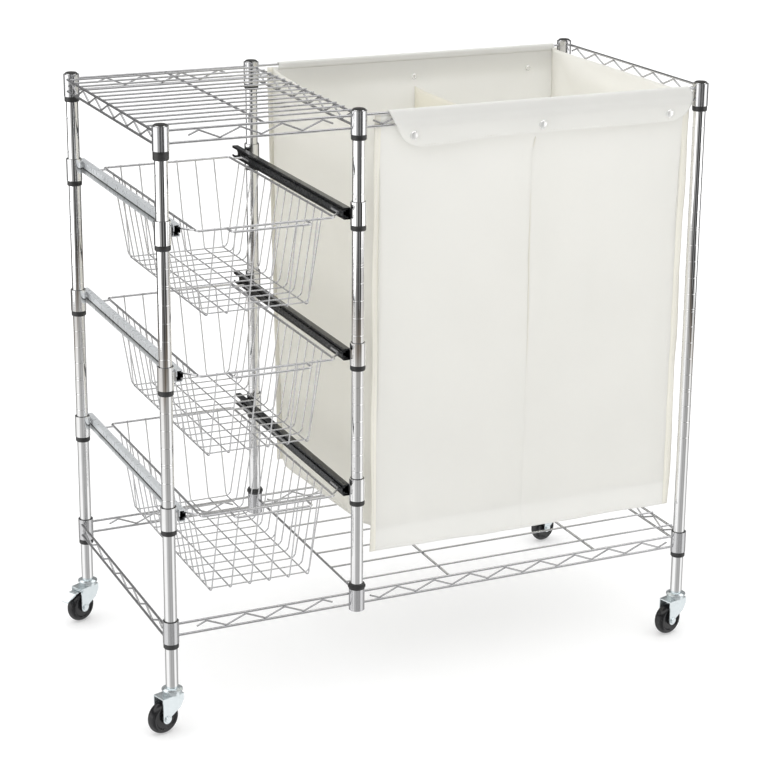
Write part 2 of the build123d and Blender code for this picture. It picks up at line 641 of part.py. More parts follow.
def lever_pin():
    """Cross pin of the brake lever, headed on both cheeks."""
    half = FORK_INSIDE / 2 + FORK_GAUGE
    outline = [
        (0, -half - 1.2), (2.6, -half - 1.2), (2.6, -half), (1.5, -half), (1.5, half), (2.6, half),
        (2.6, half + 1.2), (0, half + 1.2),
    ]
    return Pos(LEVER_PIVOT[0], 0, LEVER_PIVOT[1]) * Rot(90, 0, 0) * turned(outline)


for place, heading in CASTER_HEADING.items():
    stand = Pos(*CORNERS[place], 0) * Rot(0, 0, heading)
    body = fork()
    if place in LOCKING_CASTERS:
        pivot = Pos(LEVER_PIVOT[0], 0, LEVER_PIVOT[1]) * Rot(90, 0, 0)
        body -= pivot * Cylinder(1.5, 60)
        parts["brake_lever_" + place] = stand * brake_lever()
        parts["brake_pin_" + place] = stand * lever_pin()
    parts["caster_fork_" + place] = stand * body
    parts["caster_axle_" + place] = stand * axle()
    parts["caster_wheel_" + place] = stand * wheel()
    parts["caster_stem_" + place] = stand * caster_stem()
parts["stem_inserts"] = Compound([Pos(x, y, 0) * stem_insert() for x, y in CORNERS.values()])

# ---------------------------------------------------------------- origin and files
whole = Compound(list(parts.values())).bounding_box()
ORIGIN_X = (whole.min.X + whole.max.X) / 2
ORIGIN_Y = (whole.min.Y + whole.max.Y) / 2
print("origin, from the front left post axis:", round(ORIGIN_X, 3), round(ORIGIN_Y, 3))
print("overall size:", whole.size)

os.makedirs("parts", exist_ok=True)
for name, shape in parts.items():
    export_step(Pos(-ORIGIN_X, -ORIGIN_Y, 0) * shape, "parts/" + name + ".step")
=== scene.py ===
"""Wheeled laundry cart: finishes on the CAD frame, a canvas bag in real cloth, studio light and camera."""
import math

import bpy
import numpy as np
from mathutils import Matrix, Vector


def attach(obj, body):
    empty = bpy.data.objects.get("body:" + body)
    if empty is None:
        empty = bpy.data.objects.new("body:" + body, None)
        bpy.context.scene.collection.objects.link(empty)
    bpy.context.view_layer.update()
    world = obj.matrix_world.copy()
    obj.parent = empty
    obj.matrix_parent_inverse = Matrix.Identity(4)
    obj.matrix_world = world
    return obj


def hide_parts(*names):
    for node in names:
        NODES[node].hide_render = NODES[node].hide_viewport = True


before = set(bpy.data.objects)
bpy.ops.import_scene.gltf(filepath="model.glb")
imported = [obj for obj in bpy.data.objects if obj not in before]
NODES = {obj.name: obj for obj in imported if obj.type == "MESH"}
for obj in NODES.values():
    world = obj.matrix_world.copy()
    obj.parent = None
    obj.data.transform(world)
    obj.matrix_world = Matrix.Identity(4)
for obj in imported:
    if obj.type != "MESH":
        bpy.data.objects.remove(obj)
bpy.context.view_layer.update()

# the frame's origin, from the front left post's axis
ORIGIN = Vector((0.398535, 0.19765, 0.0))


def at(x, y, z):
    """A point given in millimetres from the front left post's axis and the floor."""
    return Vector((x / 1000, y / 1000, z / 1000)) - ORIGIN


# ---------------------------------------------------------------- shader helpers
class Shader:
    """A node tree with short ways to add and join nodes."""

    def __init__(self, name):
        self.material = bpy.data.materials.new(name)
        self.material.use_nodes = True
        self.nodes = self.material.node_tree.nodes
        self.links = self.material.node_tree.links
        self.surface = self.nodes["Principled BSDF"]

    def node(self, kind, inputs=None, **settings):
        node = self.nodes.new("ShaderNode" + kind)
        for name, value in settings.items():
            setattr(node, name, value)
        for key, value in (inputs or {}).items():
            self.put(value, node.inputs[key])
        return node

    def put(self, value, socket):
        if isinstance(value, bpy.types.NodeSocket):
            self.links.new(value, socket)
        else:
            socket.default_value = value

    def into(self, name, value):
        self.put(value, self.surface.inputs[name])

    def ramp(self, value, stops):
        node = self.node("ValToRGB", {"Fac": value})
        ramp = node.color_ramp
        while len(ramp.elements) < len(stops):
            ramp.elements.new(1.0)
        for element, (place, colour) in zip(ramp.elements, stops):
            element.position = place
            element.color = (*colour, 1.0) if len(colour) == 3 else colour
        return node.outputs["Color"]

    def math(self, operation, a, b=0.0, clamp=False):
        node = self.node("Math", {0: a, 1: b}, operation=operation)
        node.use_clamp = clamp
        return node.outputs[0]

    def noise(self, vector, scale, detail=2.0, roughness=0.5, distortion=0.0):
        inputs = {"Vector": vector, "Scale": scale, "Detail": detail}
        inputs.update({"Roughness": roughness, "Distortion": distortion})
        return self.node("TexNoise", inputs).outputs["Fac"]

    def place(self):
        return self.node("TexCoord").outputs["Object"]

    def stretch(self, vector, scale, turn=(0, 0, 0)):
        return self.node("Mapping", {"Vector": vector, "Scale": scale, "Rotation": turn}).outputs["Vector"]

    def bump(self, height, strength, distance, after=None):
        inputs = {"Height": height, "Strength": strength, "Distance": distance}
        if after is not None:
            inputs["Normal"] = after
        return self.node("Bump", inputs).outputs["Normal"]


def chrome(name, tint, rough, wave, smudge, metallic=1.0):
    """Plated steel: faint waviness, polishing haze and small smudges that change its gloss."""
    s = Shader(name)
    place = s.place()
    haze = s.noise(place, 60.0, 5.0, 0.6)
    spots = s.noise(place, 900.0, 2.0)
    rough_value = s.ramp(haze, [(0.3, (rough,) * 3), (0.8, (rough + smudge,) * 3)])
    colour = s.ramp(haze, [(0.2, tuple(c * 0.94 for c in tint)), (0.7, tint)])
    s.into("Base Color", colour)
    s.into("Roughness", rough_value)
    s.into("Metallic", metallic)
    long_waves = s.noise(s.stretch(place, (1, 1, 0.35)), 45.0, 2.0)
    normal = s.bump(long_waves, wave, 0.001)
    s.into("Normal", s.bump(spots, 0.04, 0.0001, normal))
    return s.material


def plastic(name, colour, rough):
    """Moulded plastic with a fine spark-eroded grain and slightly worn high spots."""
    s = Shader(name)
    place = s.place()
    patch = s.noise(place, 70.0, 4.0)
    worn = tuple(min(1.0, c * 1.7 + 0.01) for c in colour)
    s.into("Base Color", s.ramp(patch, [(0.3, colour), (0.8, worn)]))
    s.into("Roughness", s.ramp(patch, [(0.3, (rough,) * 3), (0.8, (rough + 0.15,) * 3)]))
    s.into("Normal", s.bump(s.noise(place, 1500.0, 2.0), 0.15, 0.0002))
    return s.material


def zinc(name, tint, rough, metallic=1.0, step=()):
    """Bright zinc plating on pressed steel: soft blotches and drawing lines.

    Step is the painted shade across a roll-formed strip, from its lower to its upper edge: a shaded lower band, a
    dark painted shadow along the rolled groove and a lit upper band.
    """
    s = Shader(name)
    place = s.place()
    blotch = s.noise(place, 110.0, 4.0, 0.6)
    lines = s.noise(s.stretch(place, (900, 6, 900)), 1.0, 2.0)
    plated = s.ramp(blotch, [(0.25, tuple(c * 0.92 for c in tint)), (0.75, tint)])
    # Painted shade: the ramp darkens the plating by height on the strip, for the shaded lower band and the
    # groove's shadow.
    if step:
        rise = s.node("SeparateXYZ", {"Vector": s.node("TexCoord").outputs["Generated"]}).outputs["Z"]
        shade = s.ramp(rise, [(height, (tone,) * 3) for height, tone in step])
        painted_shade_mix = s.node("Mix", {0: 1.0, 6: plated, 7: shade}, data_type="RGBA", blend_type="MULTIPLY")
        plated = painted_shade_mix.outputs[2]
    s.into("Base Color", plated)
    s.into("Roughness", s.ramp(blotch, [(0.2, (rough,) * 3), (0.8, (rough + 0.10,) * 3)]))
    s.into("Metallic", metallic)
    s.into("Normal", s.bump(lines, 0.015, 0.0001))
    return s.material


POST = chrome("post_chrome", (0.95, 0.95, 0.95), 0.015, 0.03, 0.02)
COLLAR = chrome("collar_chrome", (0.95, 0.95, 0.95), 0.03, 0.04, 0.03)
# Painted shade: wire and basket chrome get lower tints than the posts' chrome so the thin wires read darker.
WIRE = chrome("wire_chrome", (0.66, 0.66, 0.67), 0.07, 0.05, 0.05, 0.92)
BASKET = chrome("basket_chrome", (0.76, 0.76, 0.77), 0.08, 0.05, 0.05, 0.85)
# Painted shade for the rails, by height: lower band in shade, painted groove shadow at 0.40-0.45, lit upper band.
RAIL_PAINTED_SHADE = [
    (0.0, 0.80), (0.06, 0.95), (0.16, 0.70), (0.36, 0.45),
    (0.40, 0.06), (0.45, 0.06), (0.48, 1.0), (1.0, 1.0),
]
RAIL = zinc("rail_steel", (0.84, 0.87, 0.89), 0.24, 0.40, RAIL_PAINTED_SHADE)
# Painted shadow: the right rails show the shaded inside of their channel, so their plating is painted near black.
RIGHT_RAIL_PAINTED_SHADOW = zinc("rail_shadow_steel", (0.05, 0.052, 0.055), 0.20)
# Runners are near black: partly dark grease, partly painted shade of the channel they run in.
RUNNER = zinc("runner_steel", (0.12, 0.125, 0.13), 0.22)
ZINC = zinc("caster_zinc", (0.80, 0.86, 0.88), 0.14, 0.80)
BLACK = plastic("black_plastic", (0.018, 0.018, 0.018), 0.30)
CAP = plastic("cap_plastic", (0.012, 0.011, 0.010), 0.45)
TYRE = plastic("wheel_rubber", (0.006, 0.006, 0.007), 0.16)
SNAP = zinc("snap_metal", (0.93, 0.93, 0.91), 0.14, 0.45)


def finish_for(node):
    if node == "post_caps":
        return CAP
    if node.startswith("post_"):
        return POST
    if "sleeves" in node or node in ("middle_post_feet", "stem_inserts"):
        return BLACK
    if node.startswith("rail_collars"):
        return COLLAR
    if node in ("top_frame", "bottom_shelf"):
        return WIRE
    # Right rails get the painted-shadow finish.
    if node.startswith("rail_"):
        return RIGHT_RAIL_PAINTED_SHADOW if node.endswith("_right") else RAIL
    if node.startswith("runner_"):
        return RUNNER
    if node.startswith("basket_"):
        return BASKET
    if "snaps" in node:
        return SNAP
    if node.startswith("caster_wheel"):
        return TYRE
    return ZINC


for name, node in NODES.items():
    material = finish_for(name)
    node.data.materials.clear()
    node.data.materials.append(material)


THREAD_PITCH = 0.0009          # metres from one thread of the weave to the next but one


def canvas(name, tint, edge=0.0, width=1.0, soaked=0.42):
    """Plain-woven cotton canvas: thread relief, slubs, and light that soaks through a single layer.

    Edge is how much of the cut's two sides is doubled by a seam, where the colour is painted a darker beige as
    shade, and width is the cut's, both in metres.
    Soaked is the share of light that a single layer lets through.
    """
    s = Shader(name)
    cut = s.node("UVMap", uv_map="cut").outputs["UV"]
    place = s.place()
    parts = s.node("SeparateXYZ", {"Vector": cut}).outputs
    threads = 2 * math.pi / THREAD_PITCH
    weft = s.math("SINE", s.math("MULTIPLY", parts["X"], threads))
    warp = s.math("SINE", s.math("MULTIPLY", parts["Y"], threads))
    weave = s.math("MULTIPLY", weft, warp)
    slub_a = s.noise(s.stretch(cut, (60, 900, 1)), 1.0, 3.0)
    slub_b = s.noise(s.stretch(cut, (900, 60, 1)), 1.0, 3.0)
    slub = s.math("ADD", slub_a, slub_b)
    patch = s.noise(place, 7.0, 3.0)
    dark = tuple(c * 0.955 for c in tint)
    mottle = s.math("ADD", s.math("MULTIPLY", patch, 0.6), s.math("MULTIPLY", slub, 0.2))
    cloudy_and_seam_shade = s.ramp(mottle, [(0.3, dark), (0.7, tint)])
    off_middle = s.math("ABSOLUTE", s.math("SUBTRACT", parts["X"], width / 2))
    doubled = s.math("GREATER_THAN", off_middle, width / 2 - edge)
    # Painted shade: where a seam doubles the cloth, the colour is darkened to a beige for the shade of the
    # doubled layer.
    painted_seam_shade = tuple(c * share for c, share in zip(tint, (0.955, 0.935, 0.865)))
    cloudy_and_seam_shade = s.node("Mix", {0: doubled, 6: cloudy_and_seam_shade, 7: (*painted_seam_shade, 1.0)}, data_type="RGBA").outputs[2]
    s.into("Base Color", cloudy_and_seam_shade)
    s.into("Roughness", 0.92)
    s.into("Specular IOR Level", 0.25)
    s.into("Sheen Weight", 0.15)
    s.into("Sheen Roughness", 0.5)
    relief = s.math("ADD", s.math("MULTIPLY", weave, 0.35), slub)
    normal = s.bump(relief, 0.25, 0.0004)
    normal = s.bump(s.noise(place, 28.0, 3.0), 0.12, 0.004, normal)
    s.into("Normal", normal)
    soak = s.node("BsdfTranslucent", {"Color": (*tint, 1.0), "Normal": normal})
    through = s.math("SUBTRACT", soaked, s.math("MULTIPLY", doubled, 0.26))
    blend = s.node("MixShader", {0: through, 1: s.surface.outputs[0], 2: soak.outputs[0]})
    s.links.new(blend.outputs[0], s.nodes["Material Output"].inputs["Surface"])
    return s.material


CLOTH_TINT = (0.945, 0.942, 0.918)
CANVAS = canvas("canvas", CLOTH_TINT)
# Front and back panels: painted seam shade along both side edges.
SEAMED = canvas("seamed_canvas", CLOTH_TINT, edge=0.009, width=0.506)
# Painted light: the side panels get a lighter tint than the rest of the canvas, standing for the stronger light
# on them.
LIT_SIDE_CANVAS = canvas("side_canvas_painted_light", (0.962, 0.955, 0.92), soaked=0.56)
# Painted light: the divider gets a lighter, warmer tint than the rest of the canvas, standing for the warm light
# inside the bag.
WARM_LIT_CANVAS = canvas("divider_canvas_painted_light", (0.968, 0.95, 0.882), soaked=0.56)
THREAD = plastic("sewing_thread", (0.80, 0.78, 0.72), 0.7)

# ---------------------------------------------------------------- canvas bag
# Lengths in millimetres from the front left post's axis, as in at().
CART_DEPTH = 412.0
BAG_LEFT, BAG_RIGHT = 318.0, 806.0
SEAM = 9.0                     # seam allowance, standing outside as a flange
DIVIDER_X, DIVIDER_Z = 557.5, 817.0
FRONT_Y, BACK_Y = 2.9, 408.0
PANEL_TOP = 861.0
SKIRT = 36.0                   # how far the front panel hangs below the bottom seam
LAYER = 0.9                    # thickness of one layer of canvas
MOST_TRAVEL = 9.0              # no point of the bag settles further than this from its pattern
SETTLE_FRAMES = 30
WIRE_Z, FOLD = 864.0, 3.6      # top wire of the truss, and the canvas's distance from its middle
FRONT_SNAPS = (365.6, 567.4, 776.5)


def smooth(value):
    value = min(1.0, max(0.0, value))
    return value * value * (3 - 2 * value)


class Ripple:
    """Slow folds of hanging canvas as a sum of leaning waves."""

    def __init__(self, seed, size):
        draw = np.random.default_rng(seed).uniform
        self.waves = [
            (draw(110, 320), draw(-0.25, 0.25), draw(0, 6.28), size * draw(0.3, 1.0))
            for _ in range(5)
        ]

    def __call__(self, across, z):
        return sum(
            high * math.sin(2 * math.pi * (across + lean * z) / long + phase)
            for long, lean, phase, high in self.waves
        )


def seam_z(y):
    """Height of the bottom seam, which climbs towards the front."""
    return 250.0 - 20.0 * y / 400.0


def back_plane(z):
    """The back panel leans forward towards its foot."""
    return BACK_Y - 22.0 * (1 - smooth((z - 190) / 560))


CREASE = 1.6                   # half the width of the furrow along a seam


def between_seams(low, high, count):
    """Columns of cloth from one seam to the next, with a narrow one beside each."""
    return [low, low + CREASE] + list(np.linspace(low, high, count))[1:-1] + [high - CREASE]


COLUMNS = between_seams(BAG_LEFT, DIVIDER_X, 21) + between_seams(DIVIDER_X, BAG_RIGHT, 22) + [BAG_RIGHT]
FLANGED = [
    BAG_LEFT - SEAM, BAG_LEFT - SEAM / 2, BAG_LEFT - CREASE, *COLUMNS,
    BAG_RIGHT + CREASE, BAG_RIGHT + SEAM / 2, BAG_RIGHT + SEAM,
]
DIVIDER_T = (DIVIDER_Z - seam_z(0)) / (PANEL_TOP - seam_z(0))
RISE = list(np.linspace(0, DIVIDER_T, 45)) + list(np.linspace(DIVIDER_T, 1, 5))[1:]
DEPTH = list(np.linspace(0, 1, 34))
front_ripple, back_ripple = Ripple(11, 1.9), Ripple(23, 2.2)
left_ripple, right_ripple, middle_ripple = Ripple(5, 2.0), Ripple(7, 2.0), Ripple(13, 2.5)


def slack(t):
    """How much of the ripple shows at a height: none where the cloth is held at the top."""
    return smooth((1 - t) * 4.0)


def pucker(x, z, seam, wave):
    """Small gathers that a seam draws into the cloth beside it."""
    near = math.exp(-abs(x - seam) / 20.0)
    turn = 2 * math.pi * z / wave
    return 0.55 * near * (math.sin(turn + seam) + 0.6 * math.sin(turn / 1.7))


def from_seam(x):
    """Distance to the nearest upright seam."""
    return min(abs(x - BAG_LEFT), abs(x - BAG_RIGHT), abs(x - DIVIDER_X))


def furrow(x):
    """The front panel is drawn in along its upright seams."""
    return 1.3 if from_seam(x) < 0.1 else 0.0


def front_point(x, t):
    """A point of the front panel; t is 0 at the bottom seam, 1 at the top and below 0 on the skirt."""
    if t >= 0:
        z = seam_z(0) + t * (PANEL_TOP - seam_z(0))
    else:
        z = seam_z(0) + t * SKIRT - 3.0 * smooth((x - 320) / 180)
    edge = min(1.0, from_seam(x) / 40.0)
    outside = max(0.0, BAG_LEFT - x, x - BAG_RIGHT)
    lean = outside * slack(t) * (0.10 + 0.12 * math.sin(z / 47.0) + 0.07 * math.sin(z / 19.0))
    y = FRONT_Y + abs(front_ripple(x, z)) * slack(t) * edge * 0.8 + furrow(x) - lean
    sway = 1.3 * math.sin(z / 36.0) * slack(t) * min(1.0, outside / SEAM + 0.3 * (edge < 0.02))
    return (x + sway, y + slack(t) * (pucker(x, z, DIVIDER_X, 46.0) + pucker(x, z, BAG_RIGHT, 74.0)), z)


def back_point(x, t):
    """A point of the back panel, with t as on the front one."""
    z = seam_z(400) + t * (PANEL_TOP - seam_z(400))
    edge = min(1.0, from_seam(x) / 40.0)
    return (x, back_plane(z) - abs(back_ripple(x, z)) * slack(t) * edge * 0.8, z)


def cross_point(x, d, t, ripple, dip):
    """A point of a panel that runs from the front to the back; dip lowers its free upper edge."""
    front, back = front_point(x, t), back_point(x, t)
    y = front[1] + d * (back[1] - front[1])
    z = front[2] + d * (back[2] - front[2])
    hang = 4 * d * (1 - d)
    return (x + ripple(y, z) * hang * slack(0.8 * t), y, z - dip * hang * t ** 8)


def floor_point(x, d):
    """A point of the bag's floor, which sags between the front, the back, the sides and the divider."""
    front, back = front_point(x, 0), back_point(x, 0)
    y = front[1] + d * (back[1] - front[1])
    if x < DIVIDER_X:
        half = (x - BAG_LEFT) / (DIVIDER_X - BAG_LEFT)
    else:
        half = (x - DIVIDER_X) / (BAG_RIGHT - DIVIDER_X)
    hang = 16 * d * (1 - d) * half * (1 - half)
    return (x, y, front[2] + d * (back[2] - front[2]) - 9.0 * hang)


def grid(points):
    """Faces over a table of points, as (points, quads)."""
    rows, count = len(points), len(points[0])
    flat = [p for row in points for p in row]
    quads = [
        (r * count + c, r * count + c + 1, (r + 1) * count + c + 1, (r + 1) * count + c)
        for r in range(rows - 1) for c in range(count - 1)
    ]
    return flat, quads


HEM = 0.14                     # share of the skirt below its row of stitches
SKIRT_ROWS = [-1.0, HEM - 1.0, -0.6, -0.3]
PANELS = {
    "bag_front_panel": [[front_point(x, t) for x in FLANGED] for t in SKIRT_ROWS + RISE],
    "bag_back_panel": [[back_point(x, t) for x in FLANGED] for t in RISE],
    "bag_left_panel": [[cross_point(BAG_LEFT, d, t, left_ripple, 11) for d in DEPTH] for t in RISE],
    "bag_right_panel": [[cross_point(BAG_RIGHT, d, t, right_ripple, -3) for d in DEPTH] for t in RISE],
    "bag_divider_panel": [[cross_point(DIVIDER_X, d, t, middle_ripple, 0) for d in DEPTH] for t in RISE[:45]],
    "bag_bottom_panel": [[floor_point(x, d) for x in COLUMNS] for d in DEPTH],
}


def mesh_object(name, points, faces, material):
    """An object from points given as in at()."""
    mesh = bpy.data.meshes.new(name)
    mesh.from_pydata([at(*p) for p in points], [], faces)
    mesh.materials.append(material)
    piece = bpy.data.objects.new(name, mesh)
    bpy.context.scene.collection.objects.link(piece)
    return piece


def eased(before, after):
    """The settled place of a point, brought back towards its start the further it went."""
    travel = after - before
    return tuple(before + travel * (MOST_TRAVEL / (MOST_TRAVEL + travel.length)))


def settle(tables):
    """Hangs the sewn panels by the top edges of the front and back ones and returns their points, settled."""
    points, faces, spans = [], [], {}
    for name, table in tables.items():
        flat, quads = grid(table)
        spans[name] = (len(points), len(flat))
        faces += [tuple(v + len(points) for v in quad) for quad in quads]
        points += flat
    merged, index, remap = [], {}, []
    for p in points:
        key = tuple(round(c, 2) for c in p)
        if key not in index:
            index[key] = len(merged)
            merged.append(p)
        remap.append(index[key])
    bag = mesh_object("bag_cloth", merged, [tuple(remap[v] for v in face) for face in faces], CANVAS)
    hold = bag.vertex_groups.new(name="hold")
    top = PANEL_TOP - 0.5
    edges = [
        i for i, (x, y, z) in enumerate(merged)
        if z > top and (y < FRONT_Y + 0.5 or y > BACK_Y - 0.5)
    ]
    hold.add(edges, 1.0, "REPLACE")
    cloth = bag.modifiers.new("hang", "CLOTH")
    settings = cloth.settings
    settings.quality = 7
    settings.mass = 0.25
    settings.air_damping = 4.0
    settings.tension_stiffness = settings.compression_stiffness = 30.0
    settings.shear_stiffness = 12.0
    settings.bending_stiffness = 3.0
    settings.tension_damping = settings.compression_damping = 15.0
    settings.shear_damping = 10.0
    settings.vertex_group_mass = "hold"
    settings.shrink_min = -0.004
    cloth.collision_settings.use_collision = False
    cloth.point_cache.frame_start, cloth.point_cache.frame_end = 1, SETTLE_FRAMES
    for step in range(1, SETTLE_FRAMES + 1):
        bpy.context.scene.frame_set(step)
    graph = bpy.context.evaluated_depsgraph_get()
    settled = bag.evaluated_get(graph).data
    moved = [(v.co + ORIGIN) * 1000 for v in settled.vertices]
    merged = [eased(Vector(before), after) for before, after in zip(merged, moved)]
    bpy.context.scene.frame_set(1)
    bpy.data.objects.remove(bag)
    result = {}
    for name, (first, count) in spans.items():
        width = len(tables[name][0])
        flat = [merged[remap[first + k]] for k in range(count)]
        result[name] = [flat[k:k + width] for k in range(0, count, width)]
    return result


def keep_clear(point, name):
    """Front and back panels stay inside the trusses, and flat where the press studs sit on them."""
    x, y, z = point
    held = smooth((z - 790) / 32)
    if name == "bag_front_panel":
        y = min(max(y, 1.0 + 1.7 * held), 16.0 - 11.6 * held)
    if name == "bag_back_panel":
        y = max(min(y, 410.6 - 1.3 * held), 380.0 + 28.0 * held)
    return (min(max(x, 307.5), 817.0), y, z)


def cloth_piece(name, table, replaced, material=CANVAS):
    """A panel as its own sheet: grid, real-size UVs, two faces and a rounded edge."""
    points, quads = grid(table)
    piece = mesh_object(name, points, quads, material)
    mesh = piece.data
    width = len(table[0])
    middle = table[len(table) // 2]
    across = np.cumsum([0] + [math.dist(a, b) for a, b in zip(middle, middle[1:])])
    up = np.cumsum([0] + [math.dist(a[width // 2], b[width // 2]) for a, b in zip(table, table[1:])])
    uv = mesh.uv_layers.new(name="cut")
    for loop in mesh.loops:
        row, column = divmod(loop.vertex_index, width)
        uv.data[loop.index].uv = (across[column] / 1000, up[row] / 1000)
    mesh.shade_smooth()
    fine = piece.modifiers.new("fine", "SUBSURF")
    fine.levels = fine.render_levels = 1
    fine.boundary_smooth = "PRESERVE_CORNERS"
    thick = piece.modifiers.new("thick", "SOLIDIFY")
    thick.thickness = LAYER / 1000
    thick.offset = 0.0
    thick.use_even_offset = False
    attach(piece, "frame")
    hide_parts(replaced)
    return piece


STITCH, GAP = 3.0, 1.6         # a stitch's length along the cloth and the cloth between two
STITCH_SIDES = [(0.0, 0.35), (-0.30, 0.0), (0.0, -0.35), (0.30, 0.0)]


def stitches(name, lines, out):
    """Rows of stitches along lines on the cloth; out is the way that the cloth faces there."""
    out = Vector(out)
    points, faces = [], []
    for line in lines:
        line = [Vector(p) for p in line]
        runs = [(b - a).length for a, b in zip(line, line[1:])]
        reach = [0.0, *np.cumsum(runs)]

        def along(distance):
            k = min(int(np.searchsorted(reach, distance, side="right")) - 1, len(runs) - 1)
            return line[k].lerp(line[k + 1], (distance - reach[k]) / runs[k])

        start = 2.0
        while start + STITCH < reach[-1] - 2.0:
            first = len(points)
            low, high = along(start), along(start + STITCH)
            heading = (high - low).normalized()
            side = heading.cross(out)
            for share, girth in ((0.0, 0.35), (0.22, 1.0), (0.78, 1.0), (1.0, 0.35)):
                middle = low.lerp(high, share) + out * (LAYER / 2 + 0.12 * girth)
                points += [middle + (side * a + out * b) * girth for a, b in STITCH_SIDES]
            for ring in range(3):
                a = first + 4 * ring
                faces += [(a + k, a + (k + 1) % 4, a + 4 + (k + 1) % 4, a + 4 + k) for k in range(4)]
            faces += [(first + 3, first + 2, first + 1, first), tuple(first + 12 + k for k in range(4))]
            start += STITCH + GAP
    piece = mesh_object(name, points, faces, THREAD)
    piece.data.shade_smooth()
    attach(piece, "frame")
    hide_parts("laundry_bag")


def flap_hem(x):
    """Height of a flap's lower edge."""
    return 812.8 + 5.8 * smooth((x - 370) / 140)


def flap_left(z):
    """Slanting left edge of a flap, rounding into its hem."""
    drop = min(1.0, max(0.0, (830.0 - z) / 17.0))
    return 327.0 + 0.5 * max(0.0, 868.0 - z) + 28.0 * (1 - math.sqrt(1 - drop ** 2))


def flap_right(z):
    """Right edge of a flap: upright, then a wide round corner."""
    drop = min(1.0, max(0.0, (852.0 - z) / 33.6))
    return 815.0 - 40.0 * (1 - math.sqrt(1 - drop ** 2)) - 7.0 * smooth((z - 855.0) / 14.0)


LOWER_WIRE_Z, SNAP_Z = 846.7, 830.6    # the truss's lower wire, and the press studs below it
flap_ripple = Ripple(31, 0.45)


def flap_out(x, z):
    """How far the flap stands from the middle of the top wire, outside the truss."""
    over_wire = 1.0 * math.exp(-((z - LOWER_WIRE_Z) / 3.6) ** 2)
    near_snap = sum(math.exp(-((x - s) / 24) ** 2 - ((z - SNAP_Z) / 13) ** 2) for s in FRONT_SNAPS)
    billow = smooth((846 - z) / 24) * (1.6 + flap_ripple(x, 3 * z)) * (1 - min(1.0, near_snap))
    return max(3.85, 4.0 + over_wire + billow)


def flap_table(middle, sign):
    """A flap from inside the bag, over the top wire and down to its hem, in rows."""
    columns = np.linspace(0, 1, 73)
    table = []
    for z in (856.5, 860.5):
        left, right = flap_left(868), flap_right(868)
        table.append([(left + u * (right - left), middle + sign * (FOLD + 0.5), z) for u in columns])
    for angle in np.linspace(0, math.pi, 9):
        z = WIRE_Z + FOLD * math.sin(angle)
        left, right = flap_left(z), flap_right(z)
        reach = FOLD * math.cos(angle)
        table.append([(left + u * (right - left), middle + sign * reach, z) for u in columns])
    for share in np.linspace(0.06, 1, 22):
        fall = 1 - (1 - share) ** 1.35
        left = flap_left(WIRE_Z - fall * (WIRE_Z - 813.0))
        right = flap_right(WIRE_Z - fall * (WIRE_Z - 818.5))
        row = []
        for u in columns:
            x = left + u * (right - left)
            z = WIRE_Z - fall * (WIRE_Z - flap_hem(x))
            row.append((x, middle - sign * flap_out(x, z), z))
        table.append(row)
    return table


def column(table, index):
    return [row[index] for row in table]


# Each panel's flat size in metres, and the cloth it is cut from.
CUTS = {
    "bag_front_panel": ((0.506, 0.648), SEAMED),
    "bag_back_panel": ((0.506, 0.632), SEAMED),
    "bag_left_panel": ((0.405, 0.620), LIT_SIDE_CANVAS),
    "bag_right_panel": ((0.405, 0.620), LIT_SIDE_CANVAS),
    "bag_divider_panel": ((0.405, 0.575), WARM_LIT_CANVAS),
    "bag_bottom_panel": ((0.488, 0.395), CANVAS),
}


def build_bag():
    settled = settle(PANELS)
    for name, table in settled.items():
        table[:] = [[keep_clear(p, name) for p in row] for row in table]
        node = "bag_divider" if name == "bag_divider_panel" else "laundry_bag"
        flat, material = CUTS[name]
        cloth_piece(name, table, node, material)
    front = settled["bag_front_panel"]
    stitches("front_stitches", [column(front, 1), column(front, -2), front[1][2:-2]], (0, -1, 0))
    for side, middle, sign in (("front", 0.0, 1.0), ("back", CART_DEPTH, -1.0)):
        table = flap_table(middle, sign)
        cloth_piece("bag_%s_flap" % side, table, "laundry_bag")
        stitches(side + "_flap_stitches", [table[-4][1:-1]], (0, -sign, 0))


build_bag()

# ---------------------------------------------------------------- studio
CAMERA_PLACE = at(-865.0, -2617.3, 1434.2)
# What polished metal sees round the horizon: (degrees from the camera's side, positive to its right; brightness).
HORIZON = [
    (-180, 0.20), (-150, 0.10), (-108, 0.12),
    (-101, 1.50), (-62, 1.80), (-38, 1.50),
    (-33, 0.50), (-10, 0.42), (-5, 0.05), (14, 0.06),
    (18, 0.30), (26, 0.26), (30, 0.03), (52, 0.04),
    (57, 1.30), (70, 1.80), (98, 1.60),
    (104, 0.30), (135, 0.10), (160, 0.12), (180, 0.20),
]
# What it sees from the horizon up: (sine of the elevation; brightness).
OVERHEAD = [
    (0.0, 0.45), (0.25, 0.28), (0.45, 0.12), (0.60, 0.12),
    (0.66, 1.50), (0.88, 1.50), (0.93, 0.20), (1.0, 0.15),
]
# What cloth and plastic get.
FILL_LIGHT = 0.76              # from all round
TOP_LIGHT = 0.75               # from above, on top of that
LEFT_LIGHT = 0.28              # from the left, on top of that
NEAR_FLOOR = 1.75              # metres of bright floor round the cart, as polished metal sees it
RING = 2.2                     # outer edge of the brown border of that floor
FLOOR_SHEEN = 0.62             # the floor's share of what metal sees below; the rest is the horizon


def grey(value):
    return (value, value, value)


